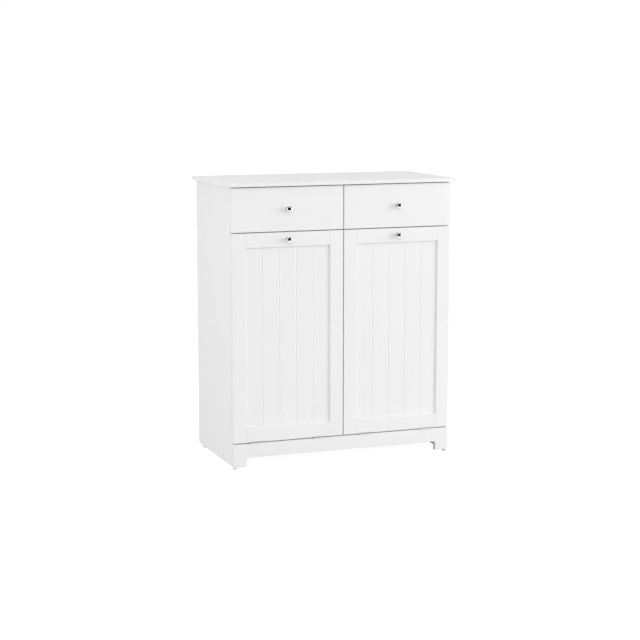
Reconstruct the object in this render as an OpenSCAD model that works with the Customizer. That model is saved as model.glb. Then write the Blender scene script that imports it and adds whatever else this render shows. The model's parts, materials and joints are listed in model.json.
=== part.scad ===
// White laundry cabinet: two drawers side by side above two bins that tilt out on bottom hinges.
// Millimetres. X runs to the right, Y to the back and Z up. The origin is on the floor, in the
// middle of the width and of the whole depth, knobs included.
// One bay is drawn on the right, from the centre partition outwards, and mirrored for the left.

/* [Cabinet] */
// Width over the side panels
body_w = 740; // [680:5:860]
// Depth from the faces of the fronts to the back edges of the side panels
body_d = 384; // [374:2:440]
// Height from the floor to the top face
total_h = 903; // [863:5:983]

/* [Top panel] */
// Thickness of the top panel
top_t = 12; // [10:1:22]
// How far the top panel stands out at each side
top_side = 15; // [2:1:30]
// How far the top panel stands out in front of the fronts
top_front = 13; // [2:1:22]

/* [Carcass boards] */
// Thickness of the side panels
side_t = 15; // [14:0.5:18]
// Thickness of the centre partition
partition_t = 15; // [14:0.5:18]
// Thickness of the shelf that carries the drawer bay
shelf_t = 12; // [11:0.5:15]
// Thickness of the bottom panel
bottom_t = 12; // [11:0.5:15]
// How far the face of the bottom panel lies below the top edge of the apron
bottom_drop = 3; // [2:0.5:6]
// Thickness of the back panel
back_t = 3; // [2.5:0.5:5]
// How far the back panel is let in from the back edges of the side panels
back_in = 1; // [1:0.5:3]
// Height of the upright rail at the top of the back
rear_rail_h = 60; // [50:5:90]
// Thickness of that rail
rear_rail_t = 15; // [12:1:16]
// Clearance of the cross-halving of shelf and partition, on each face
lap_fit = 0.1; // [0.05:0.05:0.3]

/* [Fronts] */
// Thickness of the drawer fronts, the door frames and the apron
front_t = 18; // [16:0.5:20]
// Gap between neighbouring fronts
front_gap = 3; // [2.6:0.2:4]
// Space between the backs of the fronts and the carcass
front_seat = 1; // [0.6:0.2:2]
// Height of a drawer front
drawer_front_h = 138; // [128:1:160]

/* [Apron] */
// Height of the apron board, from the ends of its legs to its top edge
apron_h = 74; // [66:1:90]
// Height of the cut-out between the legs
cutout_h = 29; // [20:1:34]
// Width of each leg of the apron
leg_w = 44; // [36:1:70]
// Radius in the two corners of the cut-out
cutout_r = 6; // [2:1:15]
// Side of the square glue blocks behind the apron
block_w = 20; // [14:1:24]
// Length of the level glue blocks under the bottom panel
block_l = 120; // [60:10:180]
// Height of the upright glue blocks behind the legs
block_h = 42; // [30:1:44]

/* [Glides] */
// Height of the glides under the cabinet
glide_h = 8; // [3:0.5:10]
// Diameter of a glide
glide_d = 14; // [10:1:14]
// Diameter of the nail of a glide
glide_nail_d = 3; // [2:0.5:4]
// Length of that nail
glide_nail_l = 12; // [8:1:16]
// Distance from the back edge to the middle of a rear glide
rear_glide_in = 45; // [20:5:120]

/* [Door frame and panel] */
// Width of the door stiles
stile_w = 44; // [44:1:60]
// Height of the door rails
rail_h = 46; // [42:1:60]
// Thickness of the grooved panel
panel_t = 9; // [7:0.5:9.5]
// Depth of the panel's face behind the faces of the frame
panel_in = 6; // [4:0.5:6.5]
// Depth of the grooves in the frame that hold the panel
frame_groove = 6; // [4.5:0.5:6]
// Clearance of panel and tenons in those grooves, on each face
frame_fit = 0.15; // [0.1:0.05:0.3]
// Space left for the panel at the bottom of those grooves
panel_play = 0.8; // [0.5:0.1:1]
// Number of boards that the panel shows
board_count = 5; // [3:1:8]
// Width of the V grooves between those boards
vee_w = 3; // [2:0.5:6]
// Depth of the V grooves
vee_in = 1.25; // [1:0.25:3]

/* [Door hinges] */
// How far a door tilts, in degrees
door_tilt = 35; // [20:1:38]
// Length of a hinge
hinge_l = 50; // [40:2:60]
// Distance from the edge of the door to the end of a hinge
hinge_in = 53; // [53:1:80]
// Diameter of the hinge barrel
barrel_d = 6; // [5.5:0.1:6.5]
// Diameter of the hinge pin
hinge_pin_d = 3; // [2.5:0.1:3.2]
// Radial clearance of the pin in the knuckles
hinge_pin_fit = 0.06; // [0.03:0.01:0.1]
// Number of knuckles in a hinge
knuckle_count = 5; // [3:2:7]
// Gap between neighbouring knuckles, and round them
knuckle_gap = 0.4; // [0.3:0.05:0.5]
// Thickness of a hinge leaf
leaf_t = 1.2; // [1:0.05:1.2]
// Width of a hinge leaf from the pin's axis
leaf_w = 15; // [14:0.5:15.5]
// Distance of the leaf's screws from the pin's axis
leaf_screw_y = 9.8; // [8:0.1:10.5]
// Diameter of the heads of those screws
leaf_head_d = 5; // [4:0.5:6]
// Depth of those screws in the boards
leaf_screw_in = 12; // [8:1:20]

/* [Knobs] */
// Diameter of a knob
knob_d = 20; // [16:1:30]
// How far a knob stands out from the fronts
knob_out = 24; // [23:1:32]
// Diameter of the knob's neck
knob_neck_d = 10; // [8:0.5:12]
// Diameter of the knob's foot
knob_foot_d = 14; // [12:0.5:15]
// Thickness of that foot
knob_foot_t = 2; // [1:0.5:3]
// Length of the knob's flare, rim and dome together
knob_head_l = 14; // [12:0.5:15]
// Height of the knob's dome
knob_dome_h = 6.5; // [2:0.5:8]
// Height of the straight rim behind the dome
knob_rim_h = 2; // [1:0.5:3]
// Diameter of the screw that holds a knob
knob_screw_d = 4; // [3:0.5:5]
// Diameter of the head of that screw
knob_screw_head_d = 8; // [6:0.5:9]
// How deep that screw goes into the knob
knob_screw_in = 10; // [6:1:14]

/* [Drawers] */
// Space between a closed drawer and the rail at the back
drawer_end_gap = 27; // [15:1:35]
// Height of the drawer sides
drawer_side_h = 104; // [96:1:106]
// Thickness of the drawer sides and back
drawer_side_t = 15; // [13:0.5:16]
// Gap between a drawer side and the carcass
drawer_gap = 2; // [1.5:0.5:4]
// Height of the drawer sides above the shelf
drawer_lift = 8.5; // [8:0.5:10]
// Gap between the shelf and the drawer's back, which reaches lower than the sides
drawer_back_gap = 1.5; // [1:0.5:2]
// Thickness of the drawer bottom
drawer_bottom_t = 3; // [3:0.5:5]
// Height of the drawer bottom above the lower edge of the sides
drawer_bottom_up = 8; // [6:1:12]
// How deep the drawer bottom is let into its grooves
drawer_bottom_in = 6; // [4:0.5:7]
// Clearance of the drawer bottom in those grooves, on each face
drawer_bottom_fit = 0.15; // [0.1:0.05:0.3]
// How far a drawer pulls out
drawer_travel = 240; // [200:5:250]

/* [Drawer runners] */
// Height of a runner strip
runner_h = 16; // [12:1:20]
// Thickness of a runner strip
runner_t = 8; // [6.5:0.5:8.5]
// Clearance of a strip in the groove of the drawer side
runner_fit = 0.4; // [0.3:0.1:0.6]
// Distance from the carcass's front edges to the front end of a strip
runner_in = 12; // [8:1:20]
// Space between the front end of a strip and the end of its groove
runner_end_gap = 2; // [1.2:0.2:3]
// Distance of the strip's screws from its ends
runner_screw_edge = 30; // [20:1:60]
// Height of the strip's middle above the lower edge of the drawer side
runner_up = 62; // [56:1:70]
// Height of the stop block that the drawer's back meets
stop_h = 5; // [4:0.5:6]
// Length of that block along the travel
stop_l = 20; // [12:1:30]
// Width of that block
stop_w = 40; // [30:2:60]
// Gap between that block and the back of a drawer that is pulled out
stop_fit = 0.5; // [0.3:0.1:1]

/* [Bin frames] */
// Thickness of the side boards of a bin
wing_t = 12; // [11:0.5:13]
// Gap between a bin side and the carcass
wing_gap = 3.5; // [2.5:0.5:3.5]
// Height of the top of the bin sides above the hinge axis
wing_top = 520; // [480:5:540]
// Height of their lower edge above the hinge axis
wing_low = 20; // [15:1:40]
// Space between the bin sides and the back panel
wing_end_gap = 118; // [100:2:130]
// Depth of their foot behind the faces of the doors
wing_foot = 150; // [120:5:170]
// Height of the tie board at the back of a bin
tie_h = 60; // [40:5:90]
// Thickness of the tie board
tie_t = 12; // [10:1:14]
// Height of the tie board's lower edge above the hinge axis
tie_up = 330; // [290:5:400]
// Distance of the tie board from the back edges of the bin sides
tie_in = 2; // [1:1:6]

/* [Tilt stop] */
// Diameter of the stop pegs
peg_d = 8; // [6:0.5:9]
// Distance of the pegs from the hinge axis
peg_r = 300; // [280:5:305]
// Lean of the line from the hinge axis to the pegs, back from upright, in degrees
peg_lean = 9; // [8:0.5:10]
// How far the free end of a peg stays inside the bin side
peg_back = 1; // [0.5:0.5:2]
// How deep a peg sits in a side panel
peg_in = 9; // [6:1:11]
// Clearance of a peg in its slot, on each face
slot_fit = 0.4; // [0.3:0.1:0.8]
// Least width of board round the slot
slot_edge = 15; // [10:1:18]

/* [Bags] */
// Diameter of the rods that carry a bag
rod_d = 12; // [10:0.5:13]
// Clearance round a rod
rod_fit = 0.4; // [0.3:0.1:0.6]
// Depth of a rod's axis below the top of the bin sides
rod_down = 15; // [12:1:20]
// Distance of the front rod's axis behind the faces of the doors
rod_front = 38; // [34:1:45]
// Distance from the rear rod's axis to the back edges of the bin sides
rod_back = 30; // [30:1:55]
// Thickness of the bag's cloth with its seams
bag_t = 2.5; // [1.5:0.5:3]
// Gap between the bag and the bin sides
bag_gap = 9; // [6:0.5:14]
// Height of the bag's bottom above the hinge axis
bag_up = 36; // [26:2:60]
// Radius of the bag's upright corners
bag_r = 26; // [15:1:35]
// Radius along the bag's lower edges
bag_low_r = 40; // [25:1:60]
// Distance from the bag's sides to the ends of its hems
hem_in = 13; // [8:1:20]
// Height of the bag's sides above the rods' axes
bag_rise = 2; // [0:1:4]

/* [Magnets and fixings] */
// Length of a magnetic catch
catch_l = 40; // [30:1:60]
// Depth of a magnetic catch
catch_deep = 14; // [10:1:20]
// Height of a magnetic catch and of its strike plate
catch_h = 12; // [8:0.5:14]
// Distance of the catch from the front edge of the shelf
catch_in = 0.2; // [0:0.1:1]
// Thickness of the strike plate on the door
strike_t = 0.6; // [0.4:0.1:0.7]
// Diameter of the wood screws
screw_d = 3; // [2.5:0.5:3.5]
// Diameter of their heads
screw_head_d = 6; // [5.5:0.5:7]
// Height of their heads
screw_head_h = 1.8; // [1:0.1:2]
// Depth of these screws in the boards
screw_in = 6; // [5:0.5:6.5]
// Clearance of screws, nails and dowels in their holes, on the diameter
hole_fit = 0.1; // [0.05:0.05:0.2]
// Length of each leg of the corner brackets
bracket_l = 12; // [10:0.5:12.5]
// Width of the brackets
bracket_w = 15; // [12:1:20]
// Thickness of the brackets
bracket_t = 1.5; // [1:0.25:2]
// Diameter of the heads of their screws
bracket_head_d = 5; // [4:0.5:6]
// Distance of their screws from the corner
bracket_screw_at = 5.2; // [5:0.1:5.4]
// Height of one screw above, and of the other below, the middle of a bracket
bracket_screw_up = 3.75; // [3:0.25:4.5]
// Distance of the door's brackets from the lower ends and the tops of the bin sides
bracket_edge = 50; // [30:1:80]
// Height of the drawer's brackets above the lower edge of the drawer sides
bracket_up = 30; // [24:1:36]
// Diameter of the carcass dowels
dowel_d = 8; // [6:0.5:9]
// Depth of a dowel in the face of a board
dowel_in = 8; // [6:0.5:8]
// Depth of a dowel in the end of a board
dowel_end_in = 22; // [15:1:30]
// Distance of the dowels from the front and back edges of a board
dowel_edge = 45; // [30:1:80]
// Number of pins in each row across the back panel
back_pin_count = 6; // [2:2:12]
// Diameter of the heads of those pins
back_pin_head_d = 4; // [3:0.5:5]
// Height of those heads
back_pin_head_h = 0.8; // [0.4:0.1:1]
// Diameter of those pins
back_pin_d = 1.4; // [1:0.2:2]
// Length of those pins
back_pin_l = 14; // [10:1:18]

/* [Hidden] */
$fn = 48;
arc_fn = 180;
LEFT = 1;
RIGHT = 0;
WHITE = [0.93, 0.93, 0.92];
PALE = [0.88, 0.87, 0.84];
METAL = [0.6, 0.6, 0.62];
DARK_METAL = [0.3, 0.3, 0.32];
TIMBER = [0.85, 0.72, 0.52];
CLOTH = [0.86, 0.83, 0.76];
PLASTIC = [0.75, 0.75, 0.75];
cut = 1; // how far a cutting shape runs past a face

// Depths, behind the faces of the fronts
face_y = (knob_out - body_d) / 2;
carcass_y = front_t + front_seat;
back_y = body_d - back_in - back_t;
dowel_y = [carcass_y + dowel_edge, back_y - dowel_edge];
lap_y = (carcass_y + back_y) / 2;
// Widths, right of the middle
bay_in = partition_t / 2;
bay_out = body_w / 2 - side_t;
front_in = front_gap / 2;
front_out = body_w / 2;
front_mid = (front_in + front_out) / 2;
// Heights
apron_top = glide_h + apron_h;
door_low = apron_top + front_gap;
carcass_top = total_h - top_t;
drawer_top = carcass_top - front_gap;
drawer_low = drawer_top - drawer_front_h;
door_top = drawer_low - front_gap;
shelf_low = (door_top + drawer_low - shelf_t) / 2;
shelf_top = shelf_low + shelf_t;
bottom_top = apron_top - bottom_drop;
bottom_low = bottom_top - bottom_t;
axis_z = apron_top + front_gap / 2;
// Opening of a door frame
panel_in_x = front_in + stile_w;
panel_out_x = front_out - stile_w;
// Drawer box
box_in = bay_in + drawer_gap;
box_out = bay_out - drawer_gap;
box_low = shelf_top + drawer_lift;
drawer_in_face = box_in + drawer_side_t;
drawer_out_face = box_out - drawer_side_t;
drawer_bottom_z = box_low + drawer_bottom_up;
box_end = back_y - rear_rail_t - drawer_end_gap;
runner_z = box_low + runner_up;
runner_low = runner_z - runner_h / 2;
runner_start = carcass_y + runner_in;
runner_groove_start = runner_start - runner_end_gap;
runner_end = box_end;
runner_screw_y = [runner_start + runner_screw_edge, runner_end - runner_screw_edge];
stop_back = box_end - drawer_side_t - drawer_travel - stop_fit;
// Bin
wing_deep = back_y - wing_end_gap;
wing_in = bay_in + wing_gap;
wing_out = bay_out - wing_gap;
slot_end_lean = peg_lean + door_tilt;
wing_shoulder = peg_r * cos(slot_end_lean) - slot_edge - peg_d / 2;
rod_y = [rod_front, wing_deep - rod_back];
rod_z = wing_top - rod_down;
hem_r = rod_d / 2 + rod_fit + bag_t;
bag_in = wing_in + wing_t + bag_gap;
bag_out = wing_out - wing_t - bag_gap;
bag_front = rod_y[0] - hem_r;
bag_back = rod_y[1] + hem_r;
// Hinges
hinge_ends = [front_in + hinge_in, front_out - hinge_in - hinge_l];
knuckle_l = hinge_l / knuckle_count;
leaf_screw_pitch = hinge_l / 3;
// Fixing points
pin_z = [bottom_low + bottom_t / 2, shelf_low + shelf_t / 2, carcass_top - rear_rail_h / 2];
pin_pitch = 2 * bay_out / (back_pin_count + 1);
pin_x = [for (k = [1:back_pin_count]) k * pin_pitch - bay_out];
door_knob_z = door_top - rail_h / 2;
drawer_knob_z = (drawer_low + drawer_top) / 2;
door_bracket_z = [axis_z + wing_low + bracket_edge, axis_z + wing_top - bracket_edge];
drawer_bracket_z = box_low + bracket_up;

// Helpers

// A block between two corners; y is counted back from the faces of the fronts
module block(low, high) {
    translate([low[0], face_y + low[1], low[2]]) cube(high - low);
}

// The bay drawn on the right, mirrored to the left where left is 1
module bay(left) {
    mirror([left, 0, 0]) children();
}

// A shape drawn in depth and height, extruded from x0 to x1
module across(x0, x1) {
    translate([x0, face_y, 0]) rotate([90, 0, 90]) linear_extrude(x1 - x0) children();
}

// The same, with heights counted from the hinge axis
module across_bin(x0, x1) {
    across(x0, x1) translate([0, axis_z]) children();
}

// A round bar along X
module bar_x(x0, x1, y, z, d) {
    translate([x0, face_y + y, z]) rotate([0, 90, 0]) cylinder(d = d, h = x1 - x0);
}

// A round bar along Y
module bar_y(x, y0, y1, z, d) {
    translate([x, face_y + y1, z]) rotate([90, 0, 0]) cylinder(d = d, h = y1 - y0);
}

// A round bar along Z
module bar_z(x, y, z0, z1, d) {
    translate([x, face_y + y, z0]) cylinder(d = d, h = z1 - z0);
}

// Carcass

// Both sides of the carcass
module both_sides() {
    for (left = [RIGHT, LEFT]) bay(left) children();
}

// Dowels of one half: through the ends of the top, bottom, shelf and rail
module half_dowels(fit) {
    d = dowel_d + fit;
    for (y = dowel_y) {
        bar_z(bay_out + side_t / 2, y, carcass_top - dowel_end_in, carcass_top + dowel_in, d);
        for (z = [bottom_low + bottom_t / 2, shelf_low + shelf_t / 2])
            bar_x(bay_out - dowel_end_in, bay_out + dowel_in, y, z, d);
    }
    bar_x(bay_out - dowel_end_in, bay_out + dowel_in, back_y - rear_rail_t / 2,
          carcass_top - rear_rail_h / 2, d);
}

module dowels(fit) {
    both_sides() half_dowels(fit);
    for (y = [dowel_y[0], dowel_y[1] - rear_rail_t])
        bar_z(0, y, carcass_top - dowel_end_in, carcass_top + dowel_in, dowel_d + fit);
}

module carcass_dowels() {
    color(TIMBER) dowels(0);
}

module top_panel() {
    color(WHITE) difference() {
        block([-body_w / 2 - top_side, -top_front, carcass_top], [body_w / 2 + top_side, body_d, total_h]);
        dowels(hole_fit);
    }
}

module side_panel() {
    color(WHITE) difference() {
        block([bay_out, carcass_y, glide_h], [body_w / 2, body_d, carcass_top]);
        half_dowels(hole_fit);
        half_runner_screws(hole_fit);
        rear_glide(hole_fit);
        peg(bay_out - cut, bay_out + peg_in, hole_fit);
    }
}

module left_side_panel() {
    bay(LEFT) side_panel();
}

module right_side_panel() {
    bay(RIGHT) side_panel();
}

module centre_partition() {
    color(WHITE) difference() {
        block([-bay_in, carcass_y, bottom_top], [bay_in, back_y, carcass_top]);
        block([-bay_in - cut, lap_y, shelf_low - lap_fit], [bay_in + cut, back_y + cut, shelf_top + lap_fit]);
        block([-bay_in - cut, back_y - rear_rail_t - lap_fit, carcass_top - rear_rail_h - lap_fit],
              [bay_in + cut, back_y + cut, carcass_top + cut]);
        dowels(hole_fit);
        both_sides() half_partition_screws(hole_fit);
        centre_peg(hole_fit);
    }
}

module drawer_shelf() {
    color(WHITE) difference() {
        block([-bay_out, carcass_y, shelf_low], [bay_out, back_y, shelf_top]);
        block([-bay_in - lap_fit, carcass_y - cut, shelf_low - cut],
              [bay_in + lap_fit, lap_y + lap_fit, shelf_top + cut]);
        dowels(hole_fit);
        pins(hole_fit);
    }
}

module bottom_panel() {
    color(WHITE) difference() {
        block([-bay_out, carcass_y, bottom_low], [bay_out, back_y, bottom_top]);
        dowels(hole_fit);
        pins(hole_fit);
    }
}

module rear_rail() {
    color(WHITE) difference() {
        block([-bay_out, back_y - rear_rail_t, carcass_top - rear_rail_h], [bay_out, back_y, carcass_top]);
        dowels(hole_fit);
        pins(hole_fit);
    }
}

module back_panel() {
    color(PALE) difference() {
        block([-bay_out, back_y, bottom_low], [bay_out, back_y + back_t, carcass_top]);
        pins(hole_fit);
    }
}

// Pins through the back panel into the rail, the shelf and the bottom panel
module pins(fit) {
    for (x = pin_x, z = pin_z)
        bar_y(x, back_y + back_t - back_pin_l, back_y + back_t, z, back_pin_d + fit);
}

module back_pins() {
    color(METAL) {
        pins(0);
        for (x = pin_x, z = pin_z)
            bar_y(x, back_y + back_t, back_y + back_t + back_pin_head_h, z, back_pin_head_d);
    }
}

// Apron, blocks and glides

module half_cutout() {
    low = glide_h - cut;
    high = glide_h + cutout_h;
    edge = front_out - leg_w;
    across_y = [front_seat - cut, carcass_y + cut];
    block([-cut, across_y[0], low], [edge - cutout_r, across_y[1], high]);
    block([-cut, across_y[0], low], [edge, across_y[1], high - cutout_r]);
    bar_y(edge - cutout_r, across_y[0], across_y[1], high - cutout_r, cutout_r * 2);
}

module front_apron() {
    color(WHITE) difference() {
        block([-front_out, front_seat, glide_h], [front_out, carcass_y, apron_top]);
        both_sides() {
            half_cutout();
            barrel_notches();
            leaf_screws(-1, hole_fit);
            front_glide(hole_fit);
        }
    }
}

module corner_blocks() {
    color(TIMBER) both_sides() {
        block([bay_out - block_w, carcass_y, bottom_low - block_h],
              [bay_out, carcass_y + block_w, bottom_low]);
        block([front_mid - block_l / 2, carcass_y, bottom_low - block_w],
              [front_mid + block_l / 2, carcass_y + block_w, bottom_low]);
    }
}

module glide(y, fit) {
    x = front_out - side_t / 2;
    bar_z(x, y, 0, glide_h, glide_d);
    bar_z(x, y, glide_h, glide_h + glide_nail_l, glide_nail_d + fit);
}

module front_glide(fit) {
    glide(front_seat + front_t / 2, fit);
}

module rear_glide(fit) {
    glide(body_d - rear_glide_in, fit);
}

module foot_glides() {
    color(PLASTIC) both_sides() {
        front_glide(0);
        rear_glide(0);
    }
}

// Runners and stops of the drawers

// A wood screw along X whose head is let into the strip, pointing towards x1
module strip_screw(x0, x1, y, fit) {
    dir = x1 > x0 ? 1 : -1;
    head = [x0, x0 + dir * screw_head_h];
    bar_x(min(head), max(head), y, runner_z, screw_head_d + fit);
    bar_x(min(head[1], x1), max(head[1], x1), y, runner_z, screw_d + fit);
}

module half_runner_screws(fit) {
    for (y = runner_screw_y) strip_screw(bay_out - runner_t, bay_out + screw_in, y, fit);
}

module half_partition_screws(fit) {
    for (y = runner_screw_y) strip_screw(bay_in + runner_t, bay_in - screw_in, y, fit);
}

module runner_screws() {
    color(METAL) both_sides() {
        half_runner_screws(0);
        half_partition_screws(0);
    }
}

module drawer_runners() {
    color(TIMBER) both_sides() difference() {
        for (x = [[bay_in, bay_in + runner_t], [bay_out - runner_t, bay_out]])
            block([x[0], runner_start, runner_low], [x[1], runner_end, runner_low + runner_h]);
        half_runner_screws(hole_fit);
        half_partition_screws(hole_fit);
    }
}

module drawer_stops() {
    color(PLASTIC) both_sides()
        block([front_mid - stop_w / 2, stop_back - stop_l, shelf_top],
              [front_mid + stop_w / 2, stop_back, shelf_top + stop_h]);
}

// Catches and pegs

module magnet_catches() {
    color(PLASTIC) both_sides()
        block([front_mid - catch_l / 2, carcass_y + catch_in, shelf_low - catch_h],
              [front_mid + catch_l / 2, carcass_y + catch_in + catch_deep, shelf_low]);
}

module peg(x0, x1, fit) {
    bar_x(x0, x1, peg_r * sin(peg_lean), axis_z + peg_r * cos(peg_lean), peg_d + fit);
}

// One dowel goes through the partition and stops both bins
module centre_peg(fit) {
    reach = wing_in + wing_t - peg_back;
    peg(-reach, reach, fit);
}

module stop_pegs() {
    color(TIMBER) {
        both_sides() peg(wing_out - wing_t + peg_back, bay_out + peg_in, 0);
        centre_peg(0);
    }
}

// Hinges

// Knuckles with an even number belong to the fixed leaf, the others to the door's leaf
module knuckles(x, fixed, room) {
    inset = knuckle_gap / 2 - room;
    for (k = [0:knuckle_count - 1]) if ((k % 2 == 0) == fixed)
        bar_x(x + k * knuckle_l + inset, x + (k + 1) * knuckle_l - inset, 0, axis_z, barrel_d + 2 * room);
}

// One leaf, with its lower face at z
module leaf(x, z, fixed) {
    difference() {
        union() {
            block([x, 0, z], [x + hinge_l, leaf_w, z + leaf_t]);
            knuckles(x, fixed, 0);
        }
        knuckles(x, !fixed, knuckle_gap);
        bar_x(x - cut, x + hinge_l + cut, 0, axis_z, hinge_pin_d + 2 * hinge_pin_fit);
    }
}

// Flush screws of the leaves: side is -1 down into the apron and 1 up into the door
module leaf_screws(side, fit) {
    face = side < 0 ? apron_top + leaf_t : door_low - leaf_t;
    for (x = hinge_ends, k = [-1:1]) {
        at = x + hinge_l / 2 + k * leaf_screw_pitch;
        head = [face, face + side * leaf_t];
        bar_z(at, leaf_screw_y, min(head), max(head), leaf_head_d + fit);
        tip = head[1] + side * leaf_screw_in;
        bar_z(at, leaf_screw_y, min(head[1], tip), max(head[1], tip), screw_d + fit);
    }
}

module barrel_notches() {
    for (x = hinge_ends)
        bar_x(x - knuckle_gap, x + hinge_l + knuckle_gap, 0, axis_z, barrel_d + 2 * knuckle_gap);
}

module hinge_fixed_leaves() {
    color(METAL) both_sides() difference() {
        for (x = hinge_ends) leaf(x, apron_top, true);
        leaf_screws(-1, hole_fit);
    }
}

module door_hinge_leaves() {
    color(METAL) difference() {
        for (x = hinge_ends) leaf(x, door_low - leaf_t, false);
        leaf_screws(1, hole_fit);
    }
}

// The pins, and the screws of the fixed leaves
module hinge_pins() {
    color(METAL) both_sides() {
        for (x = hinge_ends) bar_x(x, x + hinge_l, 0, axis_z, hinge_pin_d);
        leaf_screws(-1, 0);
    }
}

// Knobs

module knob(z) {
    neck_l = knob_out - knob_foot_t - knob_head_l;
    flare_l = knob_head_l - knob_rim_h - knob_dome_h;
    dome_r = (pow(knob_d / 2, 2) + pow(knob_dome_h, 2)) / (2 * knob_dome_h);
    color(DARK_METAL) difference() {
        translate([front_mid, face_y, z]) rotate([90, 0, 0]) {
            cylinder(d = knob_foot_d, h = knob_foot_t);
            translate([0, 0, knob_foot_t]) {
                cylinder(d = knob_neck_d, h = neck_l);
                translate([0, 0, neck_l]) cylinder(d1 = knob_neck_d, d2 = knob_d, h = flare_l);
                translate([0, 0, neck_l + flare_l]) cylinder(d = knob_d, h = knob_rim_h);
            }
            translate([0, 0, knob_out - dome_r]) intersection() {
                sphere(r = dome_r);
                translate([0, 0, dome_r - knob_dome_h]) cylinder(d = knob_d, h = knob_dome_h + cut);
            }
        }
        knob_screw(z, hole_fit);
    }
}

module knob_screw(z, fit) {
    bar_y(front_mid, -knob_screw_in, front_t, z, knob_screw_d + fit);
    bar_y(front_mid, front_t, front_t + screw_head_h, z, knob_screw_head_d);
}

// Corner brackets, with a leg on the back of the front and a leg on the face at x

module bracket(x, dir, z) {
    ends = [x, x + dir * bracket_l];
    web = [x, x + dir * bracket_t];
    low = z - bracket_w / 2;
    high = z + bracket_w / 2;
    difference() {
        union() {
            block([min(ends), front_t, low], [max(ends), front_t + bracket_t, high]);
            block([min(web), front_t, low], [max(web), front_t + bracket_l, high]);
        }
        bracket_screws(x, dir, z, hole_fit);
    }
}

module bracket_screws(x, dir, z, fit) {
    heads = [front_t + bracket_t, x + dir * bracket_t];
    at = x + dir * bracket_screw_at;
    bar_y(at, heads[0], heads[0] + screw_head_h, z + bracket_screw_up, bracket_head_d);
    bar_y(at, front_t - screw_in, heads[0], z + bracket_screw_up, screw_d + fit);
    head = [heads[1], heads[1] + dir * screw_head_h];
    tip = x - dir * screw_in;
    bar_x(min(head), max(head), front_t + bracket_screw_at, z - bracket_screw_up, bracket_head_d);
    shank = [min(tip, heads[1]), max(tip, heads[1])];
    bar_x(shank[0], shank[1], front_t + bracket_screw_at, z - bracket_screw_up, screw_d + fit);
}

// Drawers

module drawer_screws(fit) {
    knob_screw(drawer_knob_z, fit);
    bracket_screws(drawer_in_face, 1, drawer_bracket_z, fit);
    bracket_screws(drawer_out_face, -1, drawer_bracket_z, fit);
}

module drawer_fixings() {
    color(METAL) {
        drawer_screws(0);
        bracket(drawer_in_face, 1, drawer_bracket_z);
        bracket(drawer_out_face, -1, drawer_bracket_z);
    }
}

// The bottom is let into grooves of the front, sides and back
module drawer_bottom_sheet(fit) {
    reach = drawer_bottom_in + fit;
    y = [front_t - reach, box_end - drawer_side_t + reach];
    block([drawer_in_face - reach, y[0], drawer_bottom_z - fit],
          [drawer_out_face + reach, y[1], drawer_bottom_z + drawer_bottom_t + fit]);
}

module drawer_front() {
    color(WHITE) difference() {
        block([front_in, 0, drawer_low], [front_out, front_t, drawer_top]);
        drawer_bottom_sheet(drawer_bottom_fit);
        drawer_screws(hole_fit);
    }
}

// A drawer side between x0 and x1, with its outer face at x1 or at x0
module drawer_side(x0, x1, outward) {
    deep = runner_t - drawer_gap + runner_fit;
    groove_x = outward > 0 ? [x1 - deep, x1 + cut] : [x0 - cut, x0 + deep];
    color(WHITE) difference() {
        block([x0, front_t, box_low], [x1, box_end, box_low + drawer_side_h]);
        block([groove_x[0], runner_groove_start, runner_low - runner_fit],
              [groove_x[1], box_end + cut, runner_low + runner_h + runner_fit]);
        drawer_bottom_sheet(drawer_bottom_fit);
        drawer_screws(hole_fit);
    }
}

module drawer_outer_side() {
    drawer_side(drawer_out_face, box_out, 1);
}

module drawer_inner_side() {
    drawer_side(box_in, drawer_in_face, -1);
}

// The back stands between the sides and reaches down behind the stop block
module drawer_back() {
    color(WHITE) difference() {
        block([drawer_in_face, box_end - drawer_side_t, shelf_top + drawer_back_gap],
              [drawer_out_face, box_end, box_low + drawer_side_h]);
        drawer_bottom_sheet(drawer_bottom_fit);
    }
}

module drawer_bottom() {
    color(PALE) drawer_bottom_sheet(0);
}

// Door frame and panel

// The groove round the inside of the frame
module frame_grooves() {
    block([panel_in_x - frame_groove, panel_in - frame_fit, door_low + rail_h - frame_groove],
          [panel_out_x + frame_groove, panel_in + panel_t + frame_fit, door_top - rail_h + frame_groove]);
}

module door_screws(fit) {
    knob_screw(door_knob_z, fit);
    for (z = door_bracket_z) {
        bracket_screws(wing_in + wing_t, 1, z, fit);
        bracket_screws(wing_out - wing_t, -1, z, fit);
    }
}

module door_fixings() {
    color(METAL) {
        door_screws(0);
        leaf_screws(1, 0);
        for (z = door_bracket_z) {
            bracket(wing_in + wing_t, 1, z);
            bracket(wing_out - wing_t, -1, z);
        }
        block([front_mid - catch_l / 2, front_t, shelf_low - catch_h],
              [front_mid + catch_l / 2, front_t + strike_t, shelf_low]);
    }
}

// Tenons at both ends of a rail, in the grooves of the stiles
module rail_tenons(z0, z1, fit) {
    reach = frame_groove + fit;
    y = [panel_in - fit, panel_in + panel_t + fit];
    for (x = [[panel_in_x - reach, panel_in_x], [panel_out_x, panel_out_x + reach]])
        block([x[0], y[0], z0 - fit], [x[1], y[1], z1 + fit]);
}

module door_tenons(fit) {
    rail_tenons(door_low + frame_groove, door_low + rail_h, fit);
    rail_tenons(door_top - rail_h, door_top - frame_groove, fit);
}

module door_stile(x0) {
    color(WHITE) difference() {
        block([x0, 0, door_low], [x0 + stile_w, front_t, door_top]);
        frame_grooves();
        door_tenons(frame_fit);
        door_screws(hole_fit);
    }
}

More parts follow.
